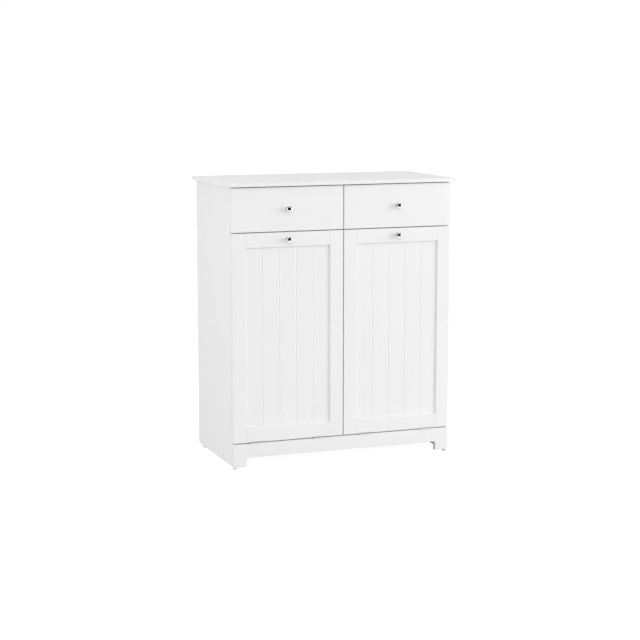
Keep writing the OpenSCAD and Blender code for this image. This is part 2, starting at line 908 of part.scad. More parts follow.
module door_rail(z0) {
    color(WHITE) difference() {
        union() {
            block([panel_in_x, 0, z0], [panel_out_x, front_t, z0 + rail_h]);
            intersection() {
                door_tenons(0);
                block([front_in, 0, z0], [front_out, front_t, z0 + rail_h]);
            }
        }
        frame_grooves();
        door_screws(hole_fit);
        barrel_notches();
        leaf_screws(1, hole_fit);
    }
}

// The panel floats in the grooves; V grooves divide its face into boards
module door_panel() {
    seat = frame_groove - panel_play;
    low = door_low + rail_h - seat;
    high = door_top - rail_h + seat;
    pitch = (panel_out_x - panel_in_x) / board_count;
    color(WHITE) difference() {
        block([panel_in_x - seat, panel_in, low], [panel_out_x + seat, panel_in + panel_t, high]);
        for (k = [1:board_count - 1])
            translate([panel_in_x + k * pitch, face_y + panel_in, low - cut])
                linear_extrude(high - low + 2 * cut)
                    polygon([[-vee_w / 2 * (vee_in + cut) / vee_in, -cut],
                             [vee_w / 2 * (vee_in + cut) / vee_in, -cut], [0, vee_in]]);
    }
}

// Bins: two side boards, a tie board, two rods and a bag

function on_arc(r, lean) = [r * sin(lean), r * cos(lean)];

// The slot in which the stop peg runs as the bin tilts
module peg_slot() {
    half_w = peg_d / 2 + slot_fit;
    far = 2 * peg_r;
    intersection() {
        difference() {
            circle(r = peg_r + half_w, $fn = arc_fn);
            circle(r = peg_r - half_w, $fn = arc_fn);
        }
        polygon([[0, 0], on_arc(far, peg_lean), on_arc(far, peg_lean + door_tilt / 2),
                 on_arc(far, slot_end_lean)]);
    }
    for (lean = [peg_lean, slot_end_lean]) translate(on_arc(peg_r, lean)) circle(r = half_w);
}

// Open notches in the top edge hold the rods
module rod_notch(y) {
    r = rod_d / 2 + rod_fit;
    translate([y, rod_z]) {
        circle(r = r);
        translate([-r, 0]) square([2 * r, rod_down + cut]);
    }
}

module bin_side(x0) {
    color(WHITE) difference() {
        across_bin(x0, x0 + wing_t)
            polygon([[front_t, wing_low], [wing_foot, wing_low], [wing_deep, wing_shoulder],
                     [wing_deep, wing_top], [front_t, wing_top]]);
        across_bin(x0 - cut, x0 + wing_t + cut) {
            peg_slot();
            for (y = rod_y) rod_notch(y);
        }
        door_screws(hole_fit);
    }
}

module bin_tie_board() {
    color(WHITE)
        block([wing_in + wing_t, wing_deep - tie_in - tie_t, axis_z + tie_up],
              [wing_out - wing_t, wing_deep - tie_in, axis_z + tie_up + tie_h]);
}

module bag_rods(fit) {
    for (y = rod_y)
        bar_x(wing_in, wing_out, y, axis_z + rod_z, rod_d + 2 * fit);
}

// A rectangle with round corners, from one corner to the other
module round_rect(low, high, r) {
    translate([low[0] + r, low[1]]) square([high[0] - low[0] - 2 * r, high[1] - low[1]]);
    translate([low[0], low[1] + r]) square([high[0] - low[0], high[1] - low[1] - 2 * r]);
    for (x = [low[0] + r, high[0] - r], y = [low[1] + r, high[1] - r]) translate([x, y]) circle(r = r);
}

// The body of the bag, drawn in by t from its outside and running past its mouth by over
module bag_body(t, over) {
    low = axis_z + bag_up + t;
    high = axis_z + rod_z + bag_rise + over;
    intersection() {
        translate([0, face_y, low]) linear_extrude(high - low)
            round_rect([bag_in + t, bag_front + t], [bag_out - t, bag_back - t], bag_r - t);
        across(bag_in, bag_out)
            round_rect([bag_front + t, low], [bag_back - t, high + bag_low_r], bag_low_r - t);
    }
}

// The hems are sleeves round the rods
module bag() {
    color(CLOTH) difference() {
        union() {
            difference() {
                bag_body(0, 0);
                bag_body(bag_t, cut);
            }
            for (y = rod_y)
                bar_x(bag_in + hem_in, bag_out - hem_in, y, axis_z + rod_z, 2 * hem_r);
        }
        bag_rods(rod_fit);
    }
}

// The nodes

top_panel();
left_side_panel();
right_side_panel();
centre_partition();
drawer_shelf();
bottom_panel();
rear_rail();
back_panel();
front_apron();
corner_blocks();
foot_glides();
carcass_dowels();
drawer_runners();
drawer_stops();
runner_screws();
back_pins();
magnet_catches();
stop_pegs();
hinge_fixed_leaves();
hinge_pins();
bay(LEFT) drawer_front();  // left_drawer_front
bay(LEFT) drawer_outer_side();  // left_drawer_outer_side
bay(LEFT) drawer_inner_side();  // left_drawer_inner_side
bay(LEFT) drawer_back();  // left_drawer_back
bay(LEFT) drawer_bottom();  // left_drawer_bottom
bay(LEFT) knob(drawer_knob_z);  // left_drawer_knob
bay(LEFT) drawer_fixings();  // left_drawer_fixings
bay(RIGHT) drawer_front();  // right_drawer_front
bay(RIGHT) drawer_outer_side();  // right_drawer_outer_side
bay(RIGHT) drawer_inner_side();  // right_drawer_inner_side
bay(RIGHT) drawer_back();  // right_drawer_back
bay(RIGHT) drawer_bottom();  // right_drawer_bottom
bay(RIGHT) knob(drawer_knob_z);  // right_drawer_knob
bay(RIGHT) drawer_fixings();  // right_drawer_fixings
bay(LEFT) door_stile(panel_out_x);  // left_door_outer_stile
bay(LEFT) door_stile(front_in);  // left_door_inner_stile
bay(LEFT) door_rail(door_top - rail_h);  // left_door_top_rail
bay(LEFT) door_rail(door_low);  // left_door_bottom_rail
bay(LEFT) door_panel();  // left_door_panel
bay(LEFT) door_hinge_leaves();  // left_door_hinge_leaves
bay(LEFT) knob(door_knob_z);  // left_door_knob
bay(LEFT) door_fixings();  // left_door_fixings
bay(LEFT) bin_side(wing_out - wing_t);  // left_bin_outer_side
bay(LEFT) bin_side(wing_in);  // left_bin_inner_side
bay(LEFT) bin_tie_board();  // left_bin_tie_board
bay(LEFT) color(TIMBER) bag_rods(0);  // left_bag_rods
bay(LEFT) bag();  // left_bag
bay(RIGHT) door_stile(panel_out_x);  // right_door_outer_stile
bay(RIGHT) door_stile(front_in);  // right_door_inner_stile
bay(RIGHT) door_rail(door_top - rail_h);  // right_door_top_rail
bay(RIGHT) door_rail(door_low);  // right_door_bottom_rail
bay(RIGHT) door_panel();  // right_door_panel
bay(RIGHT) door_hinge_leaves();  // right_door_hinge_leaves
bay(RIGHT) knob(door_knob_z);  // right_door_knob
bay(RIGHT) door_fixings();  // right_door_fixings
bay(RIGHT) bin_side(wing_out - wing_t);  // right_bin_outer_side
bay(RIGHT) bin_side(wing_in);  // right_bin_inner_side
bay(RIGHT) bin_tie_board();  // right_bin_tie_board
bay(RIGHT) color(TIMBER) bag_rods(0);  // right_bag_rods
bay(RIGHT) bag();  // right_bag
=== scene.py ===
import json
import math

import bmesh
import bpy
from mathutils import Matrix, Vector, noise


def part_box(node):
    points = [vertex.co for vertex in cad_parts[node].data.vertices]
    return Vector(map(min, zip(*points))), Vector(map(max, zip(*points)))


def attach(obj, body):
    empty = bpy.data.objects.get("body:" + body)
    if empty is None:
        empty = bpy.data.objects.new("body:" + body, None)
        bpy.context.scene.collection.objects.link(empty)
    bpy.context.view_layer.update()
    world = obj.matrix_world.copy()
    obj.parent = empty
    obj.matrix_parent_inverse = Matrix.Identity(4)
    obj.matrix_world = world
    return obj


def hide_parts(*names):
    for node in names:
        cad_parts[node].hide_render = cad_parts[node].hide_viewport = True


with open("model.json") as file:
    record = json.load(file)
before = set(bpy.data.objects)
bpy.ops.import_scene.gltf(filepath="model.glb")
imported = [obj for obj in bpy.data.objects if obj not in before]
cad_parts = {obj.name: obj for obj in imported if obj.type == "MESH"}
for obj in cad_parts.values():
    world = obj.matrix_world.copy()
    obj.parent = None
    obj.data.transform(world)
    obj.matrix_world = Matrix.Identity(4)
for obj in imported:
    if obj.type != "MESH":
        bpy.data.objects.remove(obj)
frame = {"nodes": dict(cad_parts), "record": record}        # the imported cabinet: a fixed frame that nothing here moves
scene = bpy.context.scene
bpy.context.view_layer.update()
record = frame["record"]
bodyOf = {node: body for body, nodes in record["behaviour"]["bodies"].items() for node in nodes}
slotOf = {part["node"]: part["material_slot"] for part in record["subparts"]}
mm = 0.001
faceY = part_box("left_door_inner_stile")[0].y        # front plane of the doors and drawers
print("frame loaded:", len(frame["nodes"]), "nodes")


# Node trees

def addNode(tree, kind, inputs=None, **settings):
    node = tree.nodes.new("ShaderNode" + kind)
    for key, value in settings.items():
        setattr(node, key, value)
    for key, value in (inputs or {}).items():
        if isinstance(value, bpy.types.NodeSocket):
            tree.links.new(value, node.inputs[key])
        else:
            node.inputs[key].default_value = value
    return node


def startMaterial(name, **sockets):
    material = bpy.data.materials.new(name)
    material.use_nodes = True
    shader = material.node_tree.nodes["Principled BSDF"]
    for key, value in sockets.items():
        shader.inputs[key.replace("_", " ")].default_value = value
    return material, material.node_tree, shader


def coordsOf(tree, output="Object", scale=(1, 1, 1)):
    coords = addNode(tree, "TexCoord").outputs[output]
    if tuple(scale) == (1, 1, 1):
        return coords
    return addNode(tree, "Mapping", {"Vector": coords, "Scale": scale}).outputs["Vector"]


def noiseOf(tree, coords, scale, detail=2.0, roughness=0.5):
    return addNode(tree, "TexNoise", {"Vector": coords, "Scale": scale, "Detail": detail,
                                      "Roughness": roughness}).outputs["Fac"]


def spread(tree, value, low, high, fromLow=0.3, fromHigh=0.7):
    return addNode(tree, "MapRange", {"Value": value, "From Min": fromLow, "From Max": fromHigh,
                                      "To Min": low, "To Max": high}).outputs["Result"]


def tint(tree, value, stops):
    ramp = addNode(tree, "ValToRGB", {"Fac": value})
    elements = ramp.color_ramp.elements
    while len(elements) < len(stops):
        elements.new(0.5)
    for element, (place, colour) in zip(elements, stops):
        element.position = place
        element.color = (*colour, 1)
    return ramp.outputs["Color"]


def maths(tree, operation, a, b=0.0):
    return addNode(tree, "Math", {0: a, 1: b}, operation=operation).outputs[0]


def bump(tree, shader, height, distance, strength=1.0, under=None):
    inputs = {"Height": height, "Distance": distance, "Strength": strength}
    if under is not None:
        inputs["Normal"] = under
    normal = addNode(tree, "Bump", inputs).outputs["Normal"]
    tree.links.new(normal, shader.inputs["Normal"])
    return normal


# Finishes

paint = {
    "shade": (0.868, 0.870, 0.866),
    "lightShade": (0.882, 0.884, 0.880),
    "cloudSize": 5.0,         # slow change of shade, per metre
    "peelSize": 620.0,        # spray texture, per metre
    "peelHeight": 0.035 * mm,
    "waveSize": 60.0,         # soft unevenness, per metre
    "waveHeight": 0.12 * mm,
    "smearSize": 34.0,        # change of gloss, per metre
    "gloss": (0.33, 0.42),
    "insideGloss": (0.42, 0.52),
    "insidePeelHeight": 0.02 * mm,
    "insideDull": 0.985,
}


def makePaint(name, gloss, peelHeight, dull=1.0):
    material, tree, shader = startMaterial(name)
    coords = coordsOf(tree)
    cloud = noiseOf(tree, coords, paint["cloudSize"], 3)
    shades = [(0.35, [c * dull for c in paint["shade"]]), (0.65, [c * dull for c in paint["lightShade"]])]
    tree.links.new(tint(tree, cloud, shades), shader.inputs["Base Color"])
    smear = noiseOf(tree, coords, paint["smearSize"], 4, 0.6)
    tree.links.new(spread(tree, smear, *gloss), shader.inputs["Roughness"])
    peel = noiseOf(tree, coords, paint["peelSize"], 2)
    soft = bump(tree, shader, noiseOf(tree, coords, paint["waveSize"], 2), paint["waveHeight"], 0.35)
    bump(tree, shader, peel, peelHeight, 0.6, soft)
    return material


timber = {
    "pale": (0.66, 0.50, 0.32),
    "mid": (0.56, 0.39, 0.23),
    "dark": (0.44, 0.28, 0.15),
    "rings": 160.0,           # both per metre, across the piece
    "pores": 1440.0,
    "stretch": 0.05,          # how far the grain is drawn out along the piece
    "gloss": (0.48, 0.62),
}


def makeTimber(name, along):
    material, tree, shader = startMaterial(name)
    scale = [timber["stretch"] if axis == along else 1 for axis in range(3)]
    coords = coordsOf(tree, scale=scale)
    figure = noiseOf(tree, coords, timber["rings"], 5, 0.6)
    pores = noiseOf(tree, coords, timber["pores"], 2, 0.7)
    colour = tint(tree, figure, [(0.25, timber["dark"]), (0.5, timber["mid"]), (0.72, timber["pale"])])
    fleck = tint(tree, pores, [(0.30, (0.72, 0.66, 0.6)), (0.42, (1, 1, 1))])
    mixed = addNode(tree, "Mix", {"Factor": 1.0, 6: colour, 7: fleck}, data_type="RGBA",
                    blend_type="MULTIPLY").outputs[2]
    tree.links.new(mixed, shader.inputs["Base Color"])
    tree.links.new(spread(tree, figure, *timber["gloss"]), shader.inputs["Roughness"])
    bump(tree, shader, pores, 0.05 * mm, 0.6)
    return material


board = {
    "shade": (0.80, 0.79, 0.76),
    "lightShade": (0.86, 0.85, 0.82),
    "cloudSize": 9.0,         # both per metre
    "fibreSize": 900.0,
    "gloss": (0.5, 0.66),
}


def makeHardboard(name):
    material, tree, shader = startMaterial(name)
    coords = coordsOf(tree)
    cloud = noiseOf(tree, coords, board["cloudSize"], 4, 0.6)
    fibres = noiseOf(tree, coordsOf(tree, scale=(1, 1, 0.35)), board["fibreSize"], 3, 0.7)
    mixed = maths(tree, "ADD", maths(tree, "MULTIPLY", cloud, 0.6),
                  maths(tree, "MULTIPLY", fibres, 0.4))
    tree.links.new(tint(tree, mixed, [(0.38, board["shade"]), (0.6, board["lightShade"])]),
                   shader.inputs["Base Color"])
    tree.links.new(spread(tree, fibres, *board["gloss"]), shader.inputs["Roughness"])
    bump(tree, shader, fibres, 0.06 * mm, 0.7)
    return material


def makeMetal(name, colour, gloss, brushed=None, mottle=0.06, bumpHeight=0.004 * mm):
    material, tree, shader = startMaterial(name, Metallic=1.0)
    coords = coordsOf(tree, scale=brushed or (1, 1, 1))
    grain = noiseOf(tree, coords, 900 if brushed else 260, 3, 0.6)
    dark = [c * (1 - mottle) for c in colour]
    tree.links.new(tint(tree, grain, [(0.35, dark), (0.65, colour)]), shader.inputs["Base Color"])
    tree.links.new(spread(tree, grain, *gloss), shader.inputs["Roughness"])
    bump(tree, shader, grain, bumpHeight, 0.5)
    return material


def makePlastic(name, colour, gloss=(0.42, 0.55)):
    material, tree, shader = startMaterial(name)
    coords = coordsOf(tree)
    cloud = noiseOf(tree, coords, 70, 3)
    grain = noiseOf(tree, coords, 2600, 2)
    tree.links.new(tint(tree, cloud, [(0.3, [c * 0.95 for c in colour]), (0.7, colour)]),
                   shader.inputs["Base Color"])
    tree.links.new(spread(tree, grain, *gloss), shader.inputs["Roughness"])
    bump(tree, shader, grain, 0.02 * mm, 0.5)
    return material


cotton = {
    "shade": (0.70, 0.66, 0.58),
    "lightShade": (0.82, 0.79, 0.72),
    "thread": 0.9 * mm,
    "height": 0.16 * mm,
    "sewingShade": (0.74, 0.71, 0.64),
}


def makeCotton(name):
    material, tree, shader = startMaterial(name, Roughness=0.9)
    shader.inputs["Sheen Weight"].default_value = 0.25
    shader.inputs["Sheen Roughness"].default_value = 0.5
    uv = addNode(tree, "UVMap", uv_map="threads").outputs["UV"]
    parts = addNode(tree, "SeparateXYZ", {"Vector": uv})
    turn = math.pi / cotton["thread"]
    waves = [maths(tree, "SINE", maths(tree, "MULTIPLY", parts.outputs[axis], turn))
             for axis in ("X", "Y")]
    crossing = maths(tree, "MULTIPLY", waves[0], waves[1])
    ridges = [maths(tree, "ABSOLUTE", wave) for wave in waves]
    over = maths(tree, "GREATER_THAN", crossing, 0.0)
    height = addNode(tree, "Mix", {"Factor": over, "A": ridges[0], "B": ridges[1]}).outputs["Result"]
    drawn = addNode(tree, "Mapping", {"Vector": uv, "Scale": (1, 0.12, 1)})
    slub = noiseOf(tree, drawn.outputs["Vector"], 420, 3, 0.6)
    shade = maths(tree, "ADD", maths(tree, "MULTIPLY", height, 0.45),
                  maths(tree, "MULTIPLY", slub, 0.55))
    tree.links.new(tint(tree, shade, [(0.25, cotton["shade"]), (0.62, cotton["lightShade"])]),
                   shader.inputs["Base Color"])
    bump(tree, shader, height, cotton["height"], 0.7)
    return material


def makeThread(name):
    material, tree, shader = startMaterial(name, Roughness=0.8)
    twist = noiseOf(tree, coordsOf(tree), 1500, 2)
    tree.links.new(tint(tree, twist, [(0.3, cotton["sewingShade"]), (0.7, cotton["lightShade"])]),
                   shader.inputs["Base Color"])
    bump(tree, shader, twist, 0.03 * mm, 0.6)
    return material


satinPaint = makePaint("satinPaint", paint["gloss"], paint["peelHeight"])
insidePaint = makePaint("insidePaint", paint["insideGloss"], paint["insidePeelHeight"],
                        paint["insideDull"])
hardboard = makeHardboard("hardboard")
timberAlong = [makeTimber("timberAlong" + "XYZ"[axis], axis) for axis in range(3)]
zinc = makeMetal("zincPlate", (0.66, 0.67, 0.69), (0.26, 0.42), mottle=0.14)
nickel = makeMetal("satinNickel", (0.69, 0.69, 0.68), (0.26, 0.36), brushed=(0.04, 1, 1))
chrome = makeMetal("chrome", (0.72, 0.72, 0.73), (0.03, 0.07), mottle=0.02, bumpHeight=0.001 * mm)
plastic = makePlastic("palePlastic", (0.86, 0.86, 0.85))
cottonCloth = makeCotton("cottonCloth")
cottonThread = makeThread("cottonThread")
finishes = {"white_paint": insidePaint, "hardboard": hardboard, "timber": timberAlong[0], "zinc": zinc,
            "nickel": nickel, "chrome": chrome, "plastic": plastic, "cotton": cottonCloth}
print("finishes made:", len(finishes))


# Making pieces

def dress(thing, material):
    thing.data.materials.clear()
    thing.data.materials.append(material)


def newPiece(name, shape, material, nodes, body=None, sharpFrom=50):
    for face in shape.faces:
        face.smooth = True
    for edge in shape.edges:
        edge.smooth = not (edge.is_manifold and edge.calc_face_angle(0) > math.radians(sharpFrom))
    mesh = bpy.data.meshes.new(name)
    shape.to_mesh(mesh)
    shape.free()
    piece = bpy.data.objects.new(name, mesh)
    scene.collection.objects.link(piece)
    dress(piece, material)
    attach(piece, body or bodyOf[nodes[0]])
    if nodes:
        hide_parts(*nodes)
    return piece


# For each kind, the shortest edge that is eased, in mm, and the step, in radii, beside which edges stay sharp
edgeLimits = {
    "board": (4.0, 1.05), "front_apron": (0.5, 0.6),
    "small": (0.3, 0.0), "drawer_runners": (0.3, 0.6),
}
flatTo = math.radians(0.5)              # faces that meet more flatly than this are one
easedFrom = math.radians(28)            # the least angle of an edge that is eased


def easeEdges(node, radius, material, usual):
    least, near = edgeLimits.get(node, edgeLimits[usual])
    radius, least = radius * mm, least * mm
    shape = bmesh.new()
    shape.from_mesh(frame["nodes"][node].data)
    bmesh.ops.remove_doubles(shape, verts=shape.verts, dist=1e-6)
    bmesh.ops.dissolve_limit(shape, angle_limit=flatTo, verts=shape.verts, edges=shape.edges)
    tight = {vert for edge in shape.edges if edge.calc_length() < near * radius for vert in edge.verts}
    outer = [edge for edge in shape.edges
             if edge.is_manifold and edge.is_convex and edge.calc_length() > least
             and edge.calc_face_angle(0) > easedFrom and not tight.intersection(edge.verts)]
    bmesh.ops.bevel(shape, geom=outer, offset=radius, offset_type="OFFSET", affect="EDGES", segments=2,
                    profile=0.5, material=-1, clamp_overlap=True)
    piece = newPiece("eased_" + node, shape, material, [node])
    settle = piece.modifiers.new("settle", "WEIGHTED_NORMAL")
    settle.keep_sharp = True


easing = {                    # edge radius of each painted board, in mm
    "top_panel": 1.3,
    "left_side_panel": 0.35, "right_side_panel": 0.35, "centre_partition": 0.5,
    "drawer_shelf": 0.5, "bottom_panel": 0.5, "rear_rail": 0.5, "front_apron": 0.8,
    "drawer_front": 0.9, "drawer_outer_side": 0.8, "drawer_inner_side": 0.8, "drawer_back": 0.8,
    "door_outer_stile": 0.8, "door_inner_stile": 0.8, "door_top_rail": 0.8,
    "door_bottom_rail": 0.8, "door_panel": 0.35,
    "bin_outer_side": 1.2, "bin_inner_side": 1.2, "bin_tie_board": 1.2,
}
seenFromOutside = ("top_panel", "side_panel", "apron", "drawer_front", "door_")
for node in sorted(frame["nodes"]):
    kind = node if node in easing else node.split("_", 1)[1]
    if kind in easing:
        outside = any(word in node for word in seenFromOutside)
        easeEdges(node, easing[kind], satinPaint if outside else insidePaint, "board")
smallEasing = {               # the same for the smaller parts, with their materials
    "corner_blocks": (1.0, timberAlong[2]), "drawer_runners": (1.0, timberAlong[1]),
    "stop_pegs": (0.7, timberAlong[0]), "bag_rods": (0.9, timberAlong[0]),
    "drawer_stops": (0.8, plastic),
    "hinge_fixed_leaves": (0.12, nickel), "door_hinge_leaves": (0.12, nickel),
}
for node in sorted(frame["nodes"]):
    kind = node if node in smallEasing else node.split("_", 1)[1]
    if kind in smallEasing:
        easeEdges(node, *smallEasing[kind], "small")
print("edges eased")

longWay = {"corner_blocks": 2, "drawer_runners": 1}        # axis of the grain where it isn't X
for node, thing in frame["nodes"].items():
    material = finishes[slotOf[node]]
    if slotOf[node] == "timber":
        material = timberAlong[longWay.get(node, 0)]
    dress(thing, material)


# Knobs, screws and brackets

def spot(x, y, z):            # in mm: right of the middle, behind the fronts, above the floor
    return Vector((x * mm, faceY + y * mm, z * mm))


def turned(profile, steps=32):          # profile: radius and height in mm, from end to end
    shape = bmesh.new()
    points = [shape.verts.new((0, r * mm, z * mm)) for r, z in profile]
    for a, b in zip(points, points[1:]):
        shape.edges.new((a, b))
    bmesh.ops.spin(shape, geom=shape.verts[:] + shape.edges[:], cent=(0, 0, 0), axis=(0, 0, 1),
                   dvec=(0, 0, 0), angle=math.tau, steps=steps, use_merge=True)
    bmesh.ops.remove_doubles(shape, verts=shape.verts, dist=1e-6)
    bmesh.ops.recalc_face_normals(shape, faces=shape.faces)
    return shape


def setIn(shape, part, place, outward=(0, 0, 1)):       # a copy of part, its Z turned outward
    mesh = bpy.data.meshes.new("part")
    part.to_mesh(mesh)
    facing = Vector(outward).to_track_quat("Z", "Y").to_matrix().to_4x4()
    mesh.transform(Matrix.Translation(place) @ facing)
    shape.from_mesh(mesh)
    bpy.data.meshes.remove(mesh)


def mirrored(shape, side):
    if side == "left":
        bmesh.ops.scale(shape, verts=shape.verts, vec=(-1, 1, 1))
        bmesh.ops.reverse_faces(shape, faces=shape.faces)
    return shape


knob = {                      # radius and distance out from the front, in mm
    "profile": [(0, 0), (6.6, 0), (7.0, 0.4), (7.0, 1.5), (6.6, 2.0), (5.6, 2.3), (5.1, 3.2), (5.0, 5.0),
                (5.1, 8.0), (5.6, 10.2), (6.8, 12.4), (8.4, 14.3), (9.5, 15.4), (9.9, 16.1), (10.0, 16.8),
                (9.9, 17.7), (9.5, 18.5), (8.9, 19.4), (7.9, 20.6), (6.5, 21.9), (4.7, 22.9), (2.5, 23.7),
                (0, 24)],
    "steps": 72,
}
for side in ("left", "right"):
    for part in ("drawer", "door"):
        node = side + "_" + part + "_knob"
        low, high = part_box(node)
        shape = bmesh.new()
        setIn(shape, turned(knob["profile"], knob["steps"]),
              ((low.x + high.x) / 2, faceY, (low.z + high.z) / 2), (0, -1, 0))
        newPiece("turned_" + node, shape, chrome, [node])
print("knobs turned")

screws = {                    # head radius and height, shank radius and length, in mm
    "bracket": (2.5, 1.8, 1.5, 7.5),
    "knob": (4.0, 1.8, 2.0, 27.5),
    "leaf": (2.5, 1.2, 1.5, 12.0),
    "strike": (1.7, 0.35, 1.1, 6.0),
    "runner": (3.0, 1.8, 1.5, 12.2),
    "panHead": [(0.72, 0.0), (0.86, 0.12), (0.96, 0.34), (1.0, 0.62), (1.0, 1.0)],
    "flushHead": [(0.94, 0.0), (1.0, 0.1), (1.0, 1.0)],
    "cross": 0.45,            # half the width of the recess's square, as a share of the head
}


def growRing(shape, ring, radius, height):
    grown = bmesh.ops.extrude_edge_only(shape, edges=ring)["geom"]
    for vert in (part for part in grown if isinstance(part, bmesh.types.BMVert)):
        vert.co = (*(vert.co.xy.normalized() * radius * mm), height * mm)
    return [part for part in grown if isinstance(part, bmesh.types.BMEdge) and part.is_boundary]


def makeScrew(kind, crown="panHead"):   # stands on its head's underside, with a cross recess
    headRadius, headHeight, shankRadius, length = screws[kind]
    shape = bmesh.new()
    half = screws["cross"] * headRadius * mm
    bmesh.ops.create_grid(shape, x_segments=6, y_segments=6, size=half)
    bmesh.ops.translate(shape, verts=shape.verts, vec=(0, 0, headHeight * mm))
    cross = []
    for face in shape.faces:
        near, far = sorted(abs(c) for c in face.calc_center_median().xy)
        if near < half / 3 and far < half * 2 / 3:
            cross.append(face)
    bmesh.ops.inset_region(shape, faces=cross, thickness=half * 0.1, depth=-headHeight * 0.7 * mm)
    ring = [edge for edge in shape.edges if edge.is_boundary]
    for share, down in screws[crown]:
        ring = growRing(shape, ring, headRadius * share, headHeight * (1 - down))
    for radius, height in ((shankRadius, 0), (shankRadius, -length * 0.8), (shankRadius * 0.3, -length)):
        ring = growRing(shape, ring, radius, height)
    bmesh.ops.contextual_create(shape, geom=ring)
    bmesh.ops.recalc_face_normals(shape, faces=shape.faces)
    return shape


plate = {                     # of the corner brackets, in mm
    "leg": 12.0, "wide": 15.0, "thick": 1.5, "corner": 2.5, "bend": 1.2, "screwAt": 5.2, "screwUp": 3.75,
}


def makeBracket():            # its corner at the origin, legs along X and Y, its middle at z = 0
    leg, thick = plate["leg"] * mm, plate["thick"] * mm
    half = plate["wide"] / 2 * mm
    shape = bmesh.new()
    plan = [(0, 0), (leg, 0), (leg, thick), (thick, thick), (thick, leg), (0, leg)]
    bmesh.ops.contextual_create(shape, geom=[shape.verts.new((x, y, -half)) for x, y in plan])
    grown = bmesh.ops.extrude_face_region(shape, geom=shape.faces[:])["geom"]
    bmesh.ops.translate(shape, verts=[part for part in grown if isinstance(part, bmesh.types.BMVert)],
                        vec=(0, 0, 2 * half))
    bmesh.ops.recalc_face_normals(shape, faces=shape.faces)
    tips = [edge for edge in shape.edges
            if edge.calc_length() < 1.01 * thick and max(edge.verts[0].co.xy) > leg * 0.99]
    bmesh.ops.bevel(shape, geom=tips, offset=plate["corner"] * mm, affect="EDGES", segments=4, profile=0.5,
                    material=-1)
    bend = [edge for edge in shape.edges
            if all(abs(vert.co.x - thick) < 1e-6 and abs(vert.co.y - thick) < 1e-6 for vert in edge.verts)]
    bmesh.ops.bevel(shape, geom=bend, offset=plate["bend"] * mm, affect="EDGES", segments=4, profile=0.5,
                    material=-1)
    return shape


def setBracket(shape, x, turn, z):      # turn 1: the front's leg runs towards the outer side
    bracket = makeBracket()
    if turn < 0:
        bmesh.ops.scale(bracket, verts=bracket.verts, vec=(-1, 1, 1))
        bmesh.ops.reverse_faces(bracket, faces=bracket.faces)
    setIn(shape, bracket, spot(x, 18, z))
    screw = makeScrew("bracket")
    reach = 18 + plate["thick"]
    setIn(shape, screw, spot(x + turn * plate["screwAt"], reach, z + plate["screwUp"]), (0, 1, 0))
    setIn(shape, screw, spot(x + turn * plate["thick"], 18 + plate["screwAt"], z - plate["screwUp"]),
          (turn, 0, 0))


def flatPlate(wide, tall, thick, corner):       # stands on its back, outward along Z
    shape = bmesh.new()
    bmesh.ops.create_grid(shape, x_segments=1, y_segments=1, size=0.5)
    bmesh.ops.scale(shape, verts=shape.verts, vec=(wide * mm, tall * mm, 1))
    bmesh.ops.bevel(shape, geom=shape.verts[:], offset=corner * mm, affect="VERTICES", segments=4,
                    profile=0.5, material=-1)
    grown = bmesh.ops.extrude_face_region(shape, geom=shape.faces[:])["geom"]
    bmesh.ops.translate(shape, verts=[part for part in grown if isinstance(part, bmesh.types.BMVert)],
                        vec=(0, 0, thick * mm))
    bmesh.ops.recalc_face_normals(shape, faces=shape.faces)
    return shape


fittings = {                  # where the brackets and screws are, in mm
    "middle": 185.75,
    "drawer": [(24.5, 1, 793.0), (338.0, -1, 793.0)],
    "door": [(23.0, 1, 153.5), (339.5, -1, 153.5), (23.0, 1, 553.5), (339.5, -1, 553.5)],
    "drawerKnob": 819.0,
    "doorKnob": 724.0,
    "strike": (40.0, 12.0, 0.6, 736.5),         # width, height, thickness and height above the floor
    "strikeScrews": 15.0,
    "leafScrewsAt": [(end + 25 + k * 50 / 3, 9.8) for end in (54.5, 267.0) for k in (-1, 0, 1)],
    "apronTop": 82.0,
    "doorLow": 85.0,
    "hingeAxis": 83.5,
    "hingeEnds": (54.5, 267.0),
    "runnerScrews": [(x, y, 825.0) for x in (13.7, 348.8) for y in (61.0, 308.0)],
    "backFace": 383.0,
    "backPins": [(355 - 710 / 7 * k, z) for k in (1, 2, 3) for z in (73.0, 748.5, 861.0)],
}


def drawerFittings():
    shape = bmesh.new()
    for x, turn, z in fittings["drawer"]:
        setBracket(shape, x, turn, z)
    setIn(shape, makeScrew("knob"), spot(fittings["middle"], 18, fittings["drawerKnob"]), (0, 1, 0))
    return shape


def doorFittings():
    shape = bmesh.new()
    for x, turn, z in fittings["door"]:
        setBracket(shape, x, turn, z)
    setIn(shape, makeScrew("knob"), spot(fittings["middle"], 18, fittings["doorKnob"]), (0, 1, 0))
    wide, tall, thick, height = fittings["strike"]
    setIn(shape, flatPlate(wide, tall, thick, 2), spot(fittings["middle"], 18, height), (0, 1, 0))
    for shift in (-1, 1):
        setIn(shape, makeScrew("strike"),
              spot(fittings["middle"] + shift * fittings["strikeScrews"], 18 + thick, height), (0, 1, 0))
    for x, y in fittings["leafScrewsAt"]:
        setIn(shape, makeScrew("leaf", "flushHead"), spot(x, y, fittings["doorLow"]), (0, 0, -1))
    return shape


for side in ("left", "right"):
    for part, build in (("drawer", drawerFittings), ("door", doorFittings)):
        node = side + "_" + part + "_fixings"
        newPiece("screwed_" + node, mirrored(build(), side), zinc, [node])

pins = {                      # radius and height in mm
    "hinge": [(0, 0), (1.1, 0), (1.5, 0.4), (1.5, 49.6), (1.1, 50), (0, 50)],
    "back": [(0, -13.2), (0.7, -12.0), (0.7, 0), (2.0, 0), (2.0, 0.15), (1.75, 0.45), (1.1, 0.7),
             (0, 0.8)],
}


